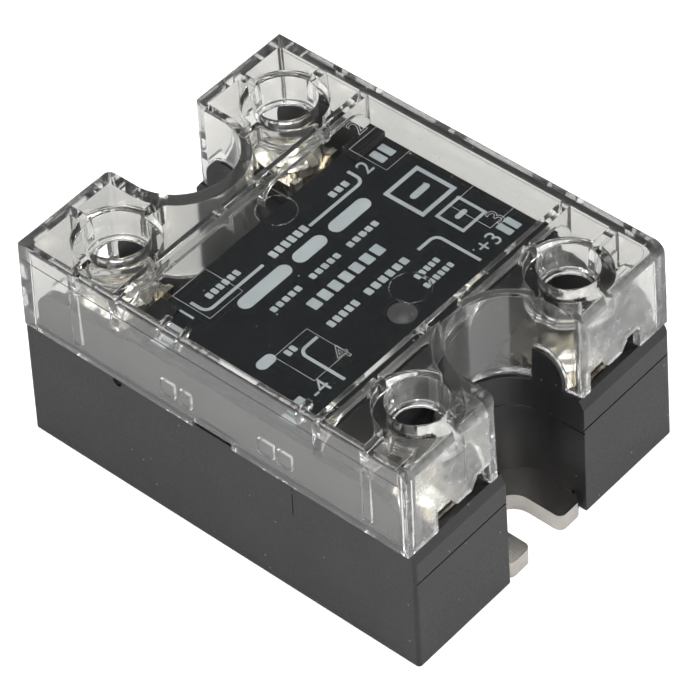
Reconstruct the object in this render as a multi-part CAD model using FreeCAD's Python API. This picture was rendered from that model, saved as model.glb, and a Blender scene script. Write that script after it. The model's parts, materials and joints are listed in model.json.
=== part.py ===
import FreeCAD, Part
import math
import os

# Panel-mount solid state relay: a metal base, a black moulded housing with four screw terminals,
# and a clear touch-safe cover that snaps on from above.  All lengths are millimetres.
# Origin: centre of the base's underside.  +X points to the input terminals, +Z up out of the base.

# ---- overall size ----
half_length = 28.9
half_width = 22.25
total_height = 30.0
split_z = 17.5            # where the cover meets the housing
notch_x = 23.8            # centre of the round end notches and of the mounting holes (47.6 mm apart)

# ---- metal base ----
base_thick = 2.4
base_half_length = 27.0
base_half_width = 20.4
ear_tip_x = 28.6
ear_half_width = 6.35
base_corner = 1.0
mount_hole_r = 2.4
mount_slot_r = 2.6

# ---- housing ----
housing_bottom = 0.25     # the base stands this far proud, so that it always meets the heatsink
housing_top_half_length = 28.6
housing_top_half_width = 21.85
housing_corner = 0.45
housing_notch_r = 6.75
housing_wall = 1.7
base_fit_gap = 0.15
end_bevel_drop = 1.1      # sloping ledge along the top of both end faces
end_bevel_depth = 0.7
mould_line_z = 13.2
mould_line_step = 0.12
mould_line_height = 0.25
seam_x = 11.3             # a fine upright seam in each long side, below the rim
seam_width = 0.12
seam_bottom = 12.6
dimple_x = -14.4          # round ejector dimple just below the rim of each long side
dimple_z = 16.7
dimple_r = 0.65
dimple_depth = 0.35
platform_z = 24.0
platform_x0 = -13.0
platform_x1 = 14.2
platform_half_width = 20.1
barrier_z = 25.1          # low barriers between the label and the output terminals
barrier_x1 = -10.8
barrier_y0 = 15.2
notch_shoulders = {-1: (23.0, 26.9), 1: (22.2, 25.8)}  # top and outer end of the wall beside each notch
notch_shoulder_round = 3.4
inner_half_width = 20.35  # the housing's walls inside the cover's skirt
bay_wall = 1.2
bay_wall_top = 23.4
bay_wall_end = 26.8
bay_wall_round = 3.5
cavity_roof = 22.4
low_cavity_top = 12.6
cavity_gap = 1.6

# ---- cover ----
cover_gap = 0.1           # between the skirt's lower edge and the housing
cover_low_half_length = 28.4
cover_top_half_length = 28.15
cover_low_half_width = 22.25
cover_top_half_width = 21.85
cover_corner = 0.45
cover_inner_corner = 0.6
cover_wall = 1.25
cover_sheet = 1.1
cover_notch_r = 7.0
cover_notch_wall = 1.2
end_round = {-1: 0.45, 1: 2.0}  # radius along the top of each end wall, output end and input end
side_round = {-1: 0.25, 1: 0.25}
apex_round = 1.2          # where an end wall turns into the wall of its notch
end_step_z = 21.5         # below this height the end walls are set back a little
end_panel_step = 0.12     # and so they are outside the middle of the terminals
tongue_bottom = 17.4      # the clear tongue at the root of each notch
tongue_half_angle = 71.0
tongue_edge_x = notch_x - cover_notch_r * math.cos(math.radians(tongue_half_angle))
flank_reach = 8.6         # outer edge of the clear flanks beside the notches
sheet_bite = 0.5          # how far ribs, webs and tubes reach up into the sheet
rib_x = {-1: -14.1, 1: 15.2}
rib_thick = 1.2
rib_bottom = 27.2
notch_gusset = 2.4        # curved brackets under each rib, in the middle and at the long walls
notch_gusset_y = 2.6
wall_gusset = 3.5
web_bottom = 26.0
web_thick = 1.2
wall_rib_face = 20.45     # shallow upright ribs inside the long walls, beside each tube
wall_rib_bottom = 18.7
snap_pips = [(-6.7, 1.0), (-4.1, 0.8), (7.6, 1.1), (10.3, 1.0)]  # middle and half length of each pip
snap_pip_face = 20.45
snap_pip_bottom = 19.2
snap_pip_top = 21.4
sheet_brackets = [-7.4, -4.6, 12.6]  # small brackets between the sheet and the -y long wall
bracket_bite = 0.3         # how far a bracket reaches into the sheet and the wall
bracket_size = 1.3
bracket_thick = 0.7
tube_bottom = 25.6
tube_lip = 0.45
wire_opening_top = 20.8
wire_opening_inner = 8.6
wire_opening_outer = 17.3
tab_y = 12.9              # a small tab hangs in the middle of each wire opening
tab_bottom = 19.2
tab_top_half = 2.1
tab_bottom_half = 1.2
tab_shoulder = 0.3
pry_notch_x0 = -2.7       # a gap under the skirt for lifting the cover off
pry_notch_x1 = 3.0
pry_notch_depth = 1.3
pry_notch_height = 1.0
ejector_mark_x = [-9.2, 10.2]
ejector_mark_r = 2.4
ejector_mark_depth = 0.08

# ---- terminals: 1 and 2 switch the load, 3 and 4 are the control input ----
output_x = -20.3
output_y = 14.0
input_x = 21.9
input_y = 12.7
output_seat = 18.2        # underside of the lead
input_seat = 14.8
output_floor = 17.5
input_floor = 14.4
lead_half_width = {"output": 3.2, "input": 2.4}
output_bend_x = -9.3
input_bend_x = 10.9
clamp_leg_width = 1.3
screw_turn_gap = 0.08     # radial play of a screw in its clamp plate
thread_gap = 0.05         # radial play of a screw in its nut, where the thread would be

# ---- label and status window ----
lens_x = 8.8
lens_r = 1.7
label_thick = 0.15

# ---- power stage ----
stage_half_y = 17.6
stage_x0 = -10.4
stage_x1 = 9.6
solder_thick = 0.1
ceramic_thick = 0.63
copper_thick = 0.3
chip_thick = 0.4
chip_half = 3.4
chip_places = [(-0.6, -6.2), (-0.6, 6.2)]
pad_z = base_thick + solder_thick + ceramic_thick + copper_thick
potting_top = 10.5

# ---- control board ----
board_x0 = -7.0
board_x1 = 12.4
board_half_y = 17.4
board_bottom = 12.5
board_thick = 1.6
board_top = board_bottom + board_thick
gate_places = [(7.9, -9.5), (7.9, -6.5), (7.9, 6.5), (7.9, 9.5)]
gate_pin_r = 0.32
pin_gap = 0.03            # radial play of pins and legs in the board
leg_r = 0.25
leg_overhang = 0.8        # how far pins and legs stand out of the board
led_r = 1.5
led_base_z = 17.2
led_legs = [(lens_x - 0.8, 0.0), (lens_x + 0.8, 0.0)]
capacitor_x = 4.2
capacitor_y = -10.4
capacitor_legs = [(capacitor_x, capacitor_y - 2.5), (capacitor_x, capacitor_y + 2.5)]


class Terminal:
    """One screw terminal: where it is and the sizes of its pieces."""

    def __init__(self, name, number, x, y, seat, lead_thick, screw):
        self.name = name
        self.number = number
        self.x = x
        self.y = y
        self.seat = seat
        self.lead_thick = lead_thick
        self.lead_top = seat + lead_thick
        self.screw_r = screw["r"]
        self.head_r = screw["head_r"]
        self.head_height = screw["head_height"]
        self.shank_length = screw["shank_length"]
        self.nut_half = screw["nut_half"]
        self.nut_height = screw["nut_height"]
        self.clamp_thick = screw["clamp_thick"]
        self.clamp_half_x = screw["clamp_half_x"]
        self.clamp_half_y = screw["clamp_half_y"]
        self.clamp_top = self.lead_top + self.clamp_thick
        self.inward = 1 if x < 0 else -1


large_screw = dict(r=2.08, head_r=4.0, head_height=2.1, shank_length=9.4, nut_half=3.8, nut_height=3.0,
                   clamp_thick=1.0, clamp_half_x=4.2, clamp_half_y=3.75)
small_screw = dict(r=1.75, head_r=3.45, head_height=2.0, shank_length=8.0, nut_half=3.2, nut_height=2.6,
                   clamp_thick=0.8, clamp_half_x=3.7, clamp_half_y=3.4)
terminals = [
    Terminal("output", 1, output_x, -output_y, output_seat, 1.0, large_screw),
    Terminal("output", 2, output_x, output_y, output_seat, 1.0, large_screw),
    Terminal("input", 3, input_x, input_y, input_seat, 0.8, small_screw),
    Terminal("input", 4, input_x, -input_y, input_seat, 0.8, small_screw),
]

UP = FreeCAD.Vector(0, 0, 1)


# ---- small helpers ----
def vec(x, y, z):
    return FreeCAD.Vector(x, y, z)


def box(x0, x1, y0, y1, z0, z1):
    low = vec(min(x0, x1), min(y0, y1), min(z0, z1))
    return Part.makeBox(abs(x1 - x0), abs(y1 - y0), abs(z1 - z0), low)


def cylinder(x, y, z0, z1, radius):
    return Part.makeCylinder(radius, z1 - z0, vec(x, y, z0), UP)


def cone(x, y, z0, z1, radius0, radius1):
    return Part.makeCone(radius0, radius1, z1 - z0, vec(x, y, z0), UP)


def fuse(shapes):
    first, rest = shapes[0], shapes[1:]
    return first.fuse(rest).removeSplitter() if rest else first


def rounded_rectangle(half_x, half_y, radius, z):
    """A closed wire with four arc corners, centred on the Z axis."""
    edges = []
    corners = [(1, 1, 0), (-1, 1, 90), (-1, -1, 180), (1, -1, 270)]
    points = []
    for sign_x, sign_y, start in corners:
        centre = vec(sign_x * (half_x - radius), sign_y * (half_y - radius), z)
        angles = [math.radians(start + turn) for turn in (0, 45, 90)]
        points.append([centre + vec(radius * math.cos(a), radius * math.sin(a), 0) for a in angles])
    for index, arc_points in enumerate(points):
        edges.append(Part.Arc(*arc_points).toShape())
        edges.append(Part.makeLine(arc_points[2], points[(index + 1) % 4][0]))
    return Part.Wire(edges)


def rounded_block(half_x, half_y, radius, z0, z1):
    face = Part.Face(rounded_rectangle(half_x, half_y, radius, z0))
    return face.extrude(vec(0, 0, z1 - z0))


def drafted_block(low, high):
    """low and high are (half_x, half_y, radius, z)."""
    return Part.makeLoft([rounded_rectangle(*low), rounded_rectangle(*high)], True, True)


def u_prism(side, radius, z0, z1):
    """The U-shaped space of an end notch: round inside, straight out past the end face."""
    round_part = cylinder(side * notch_x, 0, z0, z1, radius)
    straight_part = box(side * notch_x, side * (half_length + 5), -radius, radius, z0, z1)
    return fuse([round_part, straight_part])


def extruded_outline(points, plane, start, end):
    """A polygon in the XZ or YZ plane, extruded along the plane's normal from start to end."""
    if plane == "xz":
        corners = [vec(a, start, b) for a, b in points]
        along = vec(0, end - start, 0)
    else:
        corners = [vec(start, a, b) for a, b in points]
        along = vec(end - start, 0, 0)
    return Part.Face(Part.makePolygon(corners + corners[:1])).extrude(along)


def arch_block(half_span, top, radii, plane, half_depth):
    """A block whose two upper edges are rounded, each with its own radius, used to trim the cover's top."""
    def place(a, b):
        return vec(a, -half_depth, b) if plane == "xz" else vec(-half_depth, a, b)

    def shoulder(side):
        radius = radii[side]
        centre = half_span - radius
        diagonal = radius * math.sqrt(0.5)
        return [
            place(side * half_span, top - radius),
            place(side * (centre + diagonal), top - radius + diagonal),
            place(side * centre, top),
        ]

    left = shoulder(-1)
    right = shoulder(1)
    low_left = place(-half_span, 0)
    low_right = place(half_span, 0)
    edges = [
        Part.makeLine(low_left, left[0]),
        Part.Arc(*left).toShape(),
        Part.makeLine(left[2], right[2]),
        Part.Arc(*reversed(right)).toShape(),
        Part.makeLine(right[0], low_right),
        Part.makeLine(low_right, low_left),
    ]
    along = vec(0, 2 * half_depth, 0) if plane == "xz" else vec(2 * half_depth, 0, 0)
    return Part.Face(Part.Wire(edges)).extrude(along)


def shoulder_block(side, x_root, x_end, y0, y1, z0, top, radius):
    """A wall-shaped block whose upper outer corner is rounded: the profile of the bay walls."""
    centre_x = x_end - radius
    centre_z = top - radius
    diagonal = radius * math.sqrt(0.5)
    outline = [
        Part.makeLine(vec(side * x_root, y0, z0), vec(side * x_root, y0, top)),
        Part.makeLine(vec(side * x_root, y0, top), vec(side * centre_x, y0, top)),
        Part.Arc(vec(side * centre_x, y0, top), vec(side * (centre_x + diagonal), y0, centre_z + diagonal),
                 vec(side * x_end, y0, centre_z)).toShape(),
        Part.makeLine(vec(side * x_end, y0, centre_z), vec(side * x_end, y0, z0)),
        Part.makeLine(vec(side * x_end, y0, z0), vec(side * x_root, y0, z0)),
    ]
    return Part.Face(Part.Wire(outline)).extrude(vec(0, y1 - y0, 0))


def notch_flanks(side, inset):
    """The two straight regions beside a notch where the housing's wall shows below the cover."""
    top, x_end = notch_shoulders[side]
    return [
        shoulder_block(side, tongue_edge_x + inset, x_end - inset, sign * 4.5, sign * flank_reach,
                       split_z - 1.0, top - inset, notch_shoulder_round)
        for sign in (-1, 1)
    ]


# ---- metal base ----
def make_baseplate():
    plate = rounded_block(base_half_length, base_half_width, base_corner, 0, base_thick)
    ears = rounded_block(ear_tip_x, ear_half_width, base_corner, 0, base_thick)
    plate = fuse([plate, ears])
    hole = cylinder(-notch_x, 0, -1, base_thick + 1, mount_hole_r)
    slot_end = cylinder(notch_x, 0, -1, base_thick + 1, mount_slot_r)
    slot_straight = box(notch_x, half_length + 1, -mount_slot_r, mount_slot_r, -1, base_thick + 1)
    plate = plate.cut(fuse([slot_end, slot_straight]).fuse(hole))
    mouth = [edge for edge in plate.Edges
             if abs(edge.BoundBox.XMin - ear_tip_x) < 0.01 and abs(edge.BoundBox.XMax - ear_tip_x) < 0.01
             and edge.BoundBox.ZLength > base_thick - 0.1 and abs(abs(edge.BoundBox.YMin) - mount_slot_r) < 0.01]
    return plate.makeFillet(0.9, mouth)


# ---- housing ----
def housing_outside():
    low = (half_length, half_width, housing_corner, housing_bottom)
    high = (housing_top_half_length, housing_top_half_width, housing_corner, split_z)
    body = drafted_block(low, high)
    for side in (-1, 1):
        outer = housing_top_half_length + 0.02
        inner = outer - end_bevel_depth
        wedge = [(side * outer, split_z - end_bevel_drop), (side * (outer + 1), split_z - end_bevel_drop),
                 (side * (outer + 1), split_z + 1), (side * inner, split_z + 1), (side * inner, split_z)]
        body = body.cut(extruded_outline(wedge, "xz", -half_width - 1, half_width + 1))
    platform = box(platform_x0, platform_x1, -inner_half_width, inner_half_width, split_z - 1, platform_z)
    parts = [body, platform]
    for sign in (-1, 1):
        parts.append(box(platform_x0, barrier_x1, sign * barrier_y0, sign * platform_half_width,
                         platform_z - 1, barrier_z))
    for side in (-1, 1):
        root = -platform_x0 - 0.5 if side < 0 else platform_x1 - 0.5
        for sign in (-1, 1):
            parts.append(shoulder_block(side, root, bay_wall_end, sign * (inner_half_width - bay_wall),
                                        sign * inner_half_width, split_z - 1, bay_wall_top, bay_wall_round))
    for side in (-1, 1):
        top, x_end = notch_shoulders[side]
        collar = u_prism(side, cover_notch_r + cover_notch_wall, split_z - 1, top)
        flanks = [flank.common(collar) for flank in notch_flanks(side, 0.15)]
        parts.extend(flanks)
    return fuse(parts)


def bay_floor_pocket(side, floor):
    """The space above a pair of terminal floors, where they lie below the housing's rim."""
    pocket = box(side * (platform_x1 if side > 0 else -platform_x0), side * (bay_wall_end - 0.9),
                 -(inner_half_width - bay_wall), inner_half_width - bay_wall, floor, split_z + 0.01)
    collar = u_prism(side, cover_notch_r + cover_notch_wall + 0.2, floor - 1, split_z + 1)
    return pocket.cut(collar)


def wire_ramp(terminal):
    """The slope that guides a wire over the rim and down to an input terminal."""
    outline = [(bay_wall_end - 1.0, input_seat + 0.6), (housing_top_half_length - end_bevel_depth, split_z),
               (bay_wall_end - 1.0, split_z + 0.1)]
    low, high = sorted((math.copysign(wire_opening_inner, terminal.y), math.copysign(wire_opening_outer, terminal.y)))
    return extruded_outline(outline, "xz", low, high)


def tongue_recess(side):
    """The recess at the root of a notch where the cover's clear tongue hangs."""
    ring = cylinder(side * notch_x, 0, tongue_bottom - 0.3, barrier_z, cover_notch_r + cover_notch_wall + 0.15)
    keep = box(side * 10, side * (tongue_edge_x + 0.15), -flank_reach, flank_reach, tongue_bottom - 1, barrier_z + 1)
    return ring.common(keep)


def lead_slot(terminal):
    """The opening in the platform's end wall that a lead passes through."""
    wall_x = platform_x0 if terminal.x < 0 else platform_x1
    half = lead_half_width[terminal.name] + 0.1
    return box(wall_x - terminal.inward * 3.0, wall_x + terminal.inward * 3.0, terminal.y - half, terminal.y + half,
               terminal.seat, terminal.lead_top + 0.1)


def boss_column(terminal, grow, top):
    """The column below a terminal that holds the captive nut and clears the tip of the screw."""
    half = terminal.nut_half + 1.3 + grow
    bottom = terminal.clamp_top - terminal.shank_length - 1.2 - grow
    return box(terminal.x - half, terminal.x + half, terminal.y - half, terminal.y + half, bottom, top)


def terminal_boss(terminal):
    floor = output_floor if terminal.name == "output" else input_floor
    column = boss_column(terminal, 0, floor)
    pad_x0 = terminal.x - terminal.inward * (terminal.clamp_half_x + 0.9)
    pad_x1 = platform_x0 if terminal.x < 0 else platform_x1
    pad_half = terminal.clamp_half_y + 0.3
    seat = box(pad_x0, pad_x1, terminal.y - pad_half, terminal.y + pad_half, floor - 0.5, terminal.seat)
    return fuse([column, seat])


def terminal_holes(terminal):
    fit = 0.05
    half = terminal.nut_half + fit
    nut_pocket = box(terminal.x - half, terminal.x + half, terminal.y - half, terminal.y + half,
                     terminal.seat - terminal.nut_height, terminal.seat + 0.5)
    tip_hole = cylinder(terminal.x, terminal.y, terminal.clamp_top - terminal.shank_length - 0.3,
                        terminal.seat, terminal.screw_r + 0.3)
    return [nut_pocket, tip_hole]


def make_housing():
    body = housing_outside()
    for side in (-1, 1):
        body = body.cut(u_prism(side, housing_notch_r, -1, barrier_z))
        body = body.cut(tongue_recess(side))
    body = body.cut(bay_floor_pocket(1, input_floor))
    for terminal in terminals[2:]:
        body = body.cut(wire_ramp(terminal))
    low_cavity = rounded_block(half_length - 2.0, half_width - housing_wall - 0.3, 0.8, base_thick, low_cavity_top)
    for side in (-1, 1):
        low_cavity = low_cavity.cut(u_prism(side, housing_notch_r + cavity_gap, 0, split_z))
    high_cavity = box(platform_x0 + cavity_gap, platform_x1 - cavity_gap, -(inner_half_width - 1.8),
                      inner_half_width - 1.8, low_cavity_top - 1, cavity_roof)
    for side in (-1, 1):
        high_cavity = high_cavity.cut(u_prism(side, cover_notch_r + cover_notch_wall + cavity_gap, 0, barrier_z))
    body = body.cut(fuse([low_cavity, high_cavity]))
    base_recess = rounded_block(base_half_length + base_fit_gap, base_half_width + base_fit_gap, base_corner,
                                -1, base_thick)
    body = body.cut(base_recess)
    bosses = [terminal_boss(terminal) for terminal in terminals]
    for side in (-1, 1):
        collar = u_prism(side, housing_notch_r, 0, barrier_z)
        bosses = [boss.cut(collar) for boss in bosses]
    body = fuse([body] + bosses)
    for terminal in terminals:
        body = body.cut(fuse(terminal_holes(terminal)))
        body = body.cut(lead_slot(terminal))
    lens_hole = cylinder(lens_x, 0, cavity_roof - 1, platform_z + 1, lens_r + 0.03)
    body = body.cut(lens_hole)
    for mark in side_marks():
        body = body.cut(mark)
    return body.cut(mould_line_cutters())


def mould_line_cutters():
    """The shallow step around the end faces where the mould's halves met."""
    cutters = []
    for side in (-1, 1):
        face_x = half_length - (half_length - housing_top_half_length) * (mould_line_z / split_z)
        cutters.append(box(side * (face_x - mould_line_step), side * (half_length + 1), -half_width - 1,
                           half_width + 1, mould_line_z, mould_line_z + mould_line_height))
        groove_z = mould_line_z - 0.6
        cutters.append(u_prism(side, housing_notch_r + mould_line_step, groove_z, groove_z + mould_line_height))
    return fuse(cutters)


def side_marks():
    """A fine upright seam and a round ejector dimple below the rim of each long side."""
    marks = []
    for sign in (-1, 1):
        face_y = housing_top_half_width + 0.05
        marks.append(box(seam_x - seam_width / 2, seam_x + seam_width / 2, sign * (face_y - seam_width),
                         sign * (half_width + 1), seam_bottom, split_z + 1))
        marks.append(Part.makeCylinder(dimple_r, 2.0, vec(dimple_x, sign * (face_y - dimple_depth), dimple_z),
                                       vec(0, sign, 0)))
    return marks


# ---- cover ----
def cover_block():
    """The drafted block of the cover with both notches, its corners beside them rounded."""
    low = (cover_low_half_length, cover_low_half_width, cover_corner, split_z + cover_gap)
    high = (cover_top_half_length, cover_top_half_width, cover_corner, total_height)
    block = drafted_block(low, high)
    for side in (-1, 1):
        block = block.cut(u_prism(side, cover_notch_r, 0, total_height + 1))
    apexes = [edge for edge in block.Edges
              if edge.BoundBox.ZLength > total_height - split_z - 1 and abs(edge.BoundBox.Center.x) > notch_x
              and abs(abs(edge.BoundBox.Center.y) - cover_notch_r) < 0.05]
    return block.makeFillet(apex_round, apexes)


def end_reliefs(side):
    """The shallow steps in an end wall: above its wire openings, and outside the terminals' middle lines."""
    far = half_length + 1
    reliefs = [box(side * cover_top_half_length, side * far, -half_width - 1, half_width + 1, split_z, end_step_z)]
    outline = [(side * (cover_low_half_length - end_panel_step), split_z), (side * far, split_z),
               (side * far, total_height), (side * (cover_top_half_length - end_panel_step), total_height)]
    middle_y = output_y if side < 0 else input_y
    for low, high in ((-half_width - 1, -middle_y), (middle_y, half_width + 1)):
        reliefs.append(extruded_outline(outline, "xz", low, high))
    return reliefs


def cover_outside():
    block = cover_block()
    for side in (-1, 1):
        for relief in end_reliefs(side):
            block = block.cut(relief)
    ends = arch_block(cover_top_half_length + 0.05, total_height, end_round, "xz", half_width + 1)
    sides = arch_block(cover_top_half_width + 0.02, total_height, side_round, "yz", half_length + 1)
    upper = box(-half_length, half_length, -half_width - 1, half_width + 1,
                total_height - max(end_round.values()) - 0.2, total_height + 1)
    crown = block.common(upper).common(ends).common(sides)
    return fuse([block.cut(upper), crown])


def cover_shell(outer):
    under = total_height - cover_sheet
    low = (cover_low_half_length - cover_wall, cover_low_half_width - cover_wall, cover_inner_corner, split_z)
    high = (cover_top_half_length - cover_wall, cover_top_half_width - cover_wall, cover_inner_corner, under)
    return outer.cut(drafted_block(low, high))


def rib_bracket(x0, y_root, y_tip, size):
    """A curved bracket under a rib, full height at y_root and running out at y_tip."""
    block = box(x0, x0 + rib_thick, y_root, y_tip, rib_bottom - size, rib_bottom + 0.2)
    hollow = Part.makeCylinder(size, rib_thick + 2, vec(x0 - 1, y_tip, rib_bottom - size), vec(1, 0, 0))
    return block.cut(hollow)


def cover_ribs(outer):
    """Two cross ribs under the sheet, each with brackets at its ends and beside the notch wall."""
    ribs = []
    wall_y = cover_top_half_width - cover_wall + 0.2
    for side in (-1, 1):
        x0 = rib_x[side] - rib_thick / 2
        pieces = [box(x0, x0 + rib_thick, -half_width, half_width, rib_bottom, total_height - sheet_bite)]
        for sign in (-1, 1):
            pieces.append(rib_bracket(x0, sign * wall_y, sign * (wall_y - wall_gusset), wall_gusset))
            pieces.append(rib_bracket(x0, sign * notch_gusset_y, sign * (notch_gusset_y + notch_gusset),
                                      notch_gusset))
        ribs.append(fuse(pieces).common(outer))
    return ribs


def tube_sizes(terminal):
    """Outer radius, top bore radius and bottom bore radius of a driver tube."""
    return (5.2, 3.85, 3.35) if terminal.name == "output" else (5.05, 3.55, 3.05)


def cover_tube(terminal, outer):
    """A driver tube with four webs under the sheet and an upright rib on the wall beside it."""
    x, y = terminal.x, terminal.y
    end = -terminal.inward
    side = 1 if y > 0 else -1
    top = total_height - sheet_bite
    half = web_thick / 2
    outer_r = tube_sizes(terminal)[0]
    wall = cone(x, y, tube_bottom, top, outer_r - 0.15, outer_r)
    corner = box(rib_x[end], end * half_length, 0, side * half_width, 0, total_height)
    webs = [box(x - half, x + half, 0, side * half_width, web_bottom, top),
            box(rib_x[end], end * half_length, y - half, y + half, web_bottom, top)]
    wall_rib = box(x - half, x + half, side * wall_rib_face, side * cover_top_half_width, wall_rib_bottom, top)
    return fuse([wall] + [web.common(corner) for web in webs] + [wall_rib]).common(outer)


def cover_tube_bore(terminal):
    outer_r, top_r, bottom_r = tube_sizes(terminal)
    upper = cone(terminal.x, terminal.y, tube_bottom + tube_lip, total_height + 0.01, top_r - 0.12, top_r)
    lower = cylinder(terminal.x, terminal.y, tube_bottom - 1, tube_bottom + tube_lip + 0.01, bottom_r)
    return fuse([upper, lower])


def wire_opening(side, sign):
    """The cut in an end wall that lets a wire in, with a small tab left hanging at its middle."""
    top = wire_opening_top
    cut = box(side * (cover_low_half_length - cover_wall - 0.6), side * (half_length + 1),
              sign * wire_opening_inner, sign * wire_opening_outer, split_z - 1, top)
    half_profile = [(tab_top_half, top + sheet_bite), (tab_top_half, top - tab_shoulder),
                    (tab_bottom_half, tab_bottom)]
    left = [(sign * (tab_y - offset), z) for offset, z in half_profile]
    right = [(sign * (tab_y + offset), z) for offset, z in reversed(half_profile)]
    tab = extruded_outline(left + right, "yz", side * (notch_x - 4), side * (half_length + 2))
    return cut.cut(tab)


def cover_pips():
    """Small pips inside the long walls, where the cover grips the housing."""
    return [box(middle - half, middle + half, sign * snap_pip_face, sign * (snap_pip_face + 1.0),
                snap_pip_bottom, snap_pip_top)
            for sign in (-1, 1) for middle, half in snap_pips]


def sheet_bracket(x):
    """A small sloping bracket in the corner between the sheet and the -y long wall."""
    wall_y = cover_wall - cover_top_half_width
    top = total_height - cover_sheet
    outline = [(wall_y - bracket_bite, top + bracket_bite), (wall_y + bracket_size, top + bracket_bite),
               (wall_y + bracket_size, top), (wall_y, top - bracket_size),
               (wall_y - bracket_bite, top - bracket_size)]
    return extruded_outline(outline, "yz", x - bracket_thick / 2, x + bracket_thick / 2)


def make_cover():
    outer = cover_outside()
    additions = cover_ribs(outer)
    for side in (-1, 1):
        wall = u_prism(side, cover_notch_r + cover_notch_wall, split_z + cover_gap, total_height - sheet_bite)
        additions.append(wall.common(outer))
        tongue = cylinder(side * notch_x, 0, tongue_bottom, split_z + 1, cover_notch_r + cover_notch_wall)
        additions.append(tongue.common(box(side * 10, side * tongue_edge_x, -9, 9, 0, total_height)))
    additions.extend(cover_tube(terminal, outer) for terminal in terminals)
    additions.extend(cover_pips())
    additions.extend(sheet_bracket(x) for x in sheet_brackets)
    cover = fuse([cover_shell(outer)] + additions)
    cuts = [cover_tube_bore(terminal) for terminal in terminals]
    for side in (-1, 1):
        cuts.append(u_prism(side, cover_notch_r, 0, total_height + 1))
        cuts.extend(notch_flanks(side, 0))
        cuts.extend(wire_opening(side, sign) for sign in (-1, 1))
    cuts.append(box(pry_notch_x0, pry_notch_x1, -half_width - 1, -half_width + pry_notch_depth, split_z - 1,
                    split_z + pry_notch_height))
    under = total_height - cover_sheet
    cuts.extend(cylinder(x, 0, under - 1, under + ejector_mark_depth, ejector_mark_r) for x in ejector_mark_x)
    for shape in cuts:
        cover = cover.cut(shape)
    return cover


# ---- label and status window ----
def make_label():
    film = box(platform_x0 + 0.2, platform_x1 - 0.3, -platform_half_width + 0.5, platform_half_width - 0.5,
               platform_z, platform_z + label_thick)
    for sign in (-1, 1):
        film = film.cut(box(platform_x0 - 1, barrier_x1 + 0.25, sign * (barrier_y0 - 0.25), sign * half_width,
                            platform_z - 1, barrier_z))
    return film.cut(cylinder(lens_x, 0, platform_z - 1, platform_z + 1, lens_r + 0.15))


def make_status_lens():
    """A clear rod with a flange below the platform and a low dome on top."""
    rod = cylinder(lens_x, 0, cavity_roof - 0.8, platform_z + 0.1, lens_r)
    flange = cylinder(lens_x, 0, cavity_roof - 0.8, cavity_roof, lens_r + 0.8)
    dome_radius = 5.0
    dome_top = platform_z + 0.35
    dome = Part.makeSphere(dome_radius, vec(lens_x, 0, dome_top - dome_radius))
    dome = dome.common(cylinder(lens_x, 0, platform_z, dome_top + 1, lens_r))
    return fuse([rod, flange, dome])


# ---- screws, clamp plates, nuts and leads ----
def make_screw(terminal):
    """A slotted pan-head screw; its shank is at the thread's major diameter, with a pointed tip."""
    z0 = terminal.clamp_top
    head_r = terminal.head_r
    rim = 0.6 * terminal.head_height
    axis_x = terminal.x
    start = vec(axis_x, terminal.y, z0)
    outline = [
        Part.makeLine(start, start + vec(head_r, 0, 0)),
        Part.makeLine(start + vec(head_r, 0, 0), start + vec(head_r, 0, rim)),
        Part.Arc(start + vec(head_r, 0, rim), start + vec(head_r * 0.72, 0, rim + 0.72 * (terminal.head_height - rim)),
                 start + vec(0, 0, terminal.head_height)).toShape(),
        Part.makeLine(start + vec(0, 0, terminal.head_height), start),
    ]
    head = Part.Face(Part.Wire(outline)).revolve(start, UP, 360)
    slot_half = 0.6
    slot = box(axis_x - head_r - 1, axis_x + head_r + 1, terminal.y - slot_half, terminal.y + slot_half,
               z0 + terminal.head_height - 1.2, z0 + terminal.head_height + 1)
    cross = box(axis_x - slot_half, axis_x + slot_half, terminal.y - 2.1, terminal.y + 2.1,
                z0 + terminal.head_height - 1.4, z0 + terminal.head_height + 1)
    head = head.cut(slot).cut(cross)
    point = 0.8
    shank = cylinder(axis_x, terminal.y, z0 - terminal.shank_length + point, z0 + 0.2, terminal.screw_r)
    tip = cone(axis_x, terminal.y, z0 - terminal.shank_length, z0 - terminal.shank_length + point,
               terminal.screw_r - 0.6, terminal.screw_r)
    return fuse([head, shank, tip])


def make_clamp(terminal):
    """A pressure plate: dished corners, two legs bent down at its inner edge, a round hole for the screw."""
    z0 = terminal.lead_top
    z1 = terminal.clamp_top
    half_x = terminal.clamp_half_x
    half_y = terminal.clamp_half_y
    inner_x = terminal.x + terminal.inward * half_x
    outer_x = terminal.x - terminal.inward * half_x
    plate = box(outer_x, inner_x, terminal.y - half_y, terminal.y + half_y, z0, z1)
    notch_half = half_y - clamp_leg_width
    plate = plate.cut(box(inner_x - terminal.inward * 1.1, inner_x + terminal.inward, terminal.y - notch_half,
                          terminal.y + notch_half, z0 - 1, z1 + 1))
    corners = [edge for edge in plate.Edges
               if edge.BoundBox.ZLength > terminal.clamp_thick - 0.1 and abs(edge.BoundBox.XMin - outer_x) < 0.01]
    plate = plate.makeFillet(1.0, corners)
    pieces = [plate]
    for sign in (-1, 1):
        edge_y = terminal.y + sign * half_y
        pieces.append(box(inner_x - terminal.inward * 0.8, inner_x, edge_y, edge_y - sign * clamp_leg_width,
                          z1 - 0.3, z1 + 0.7))
    grip_depth = 0.3
    body = fuse(pieces)
    for step in (-0.62, 0.62):
        groove_x = terminal.x - terminal.inward * half_x * step
        body = body.cut(box(groove_x - 0.25, groove_x + 0.25, terminal.y - half_y - 1, terminal.y + half_y + 1,
                            z0 - 1, z0 + grip_depth))
    return body.cut(cylinder(terminal.x, terminal.y, z0 - 1, z1 + 1, terminal.screw_r + screw_turn_gap))


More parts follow.
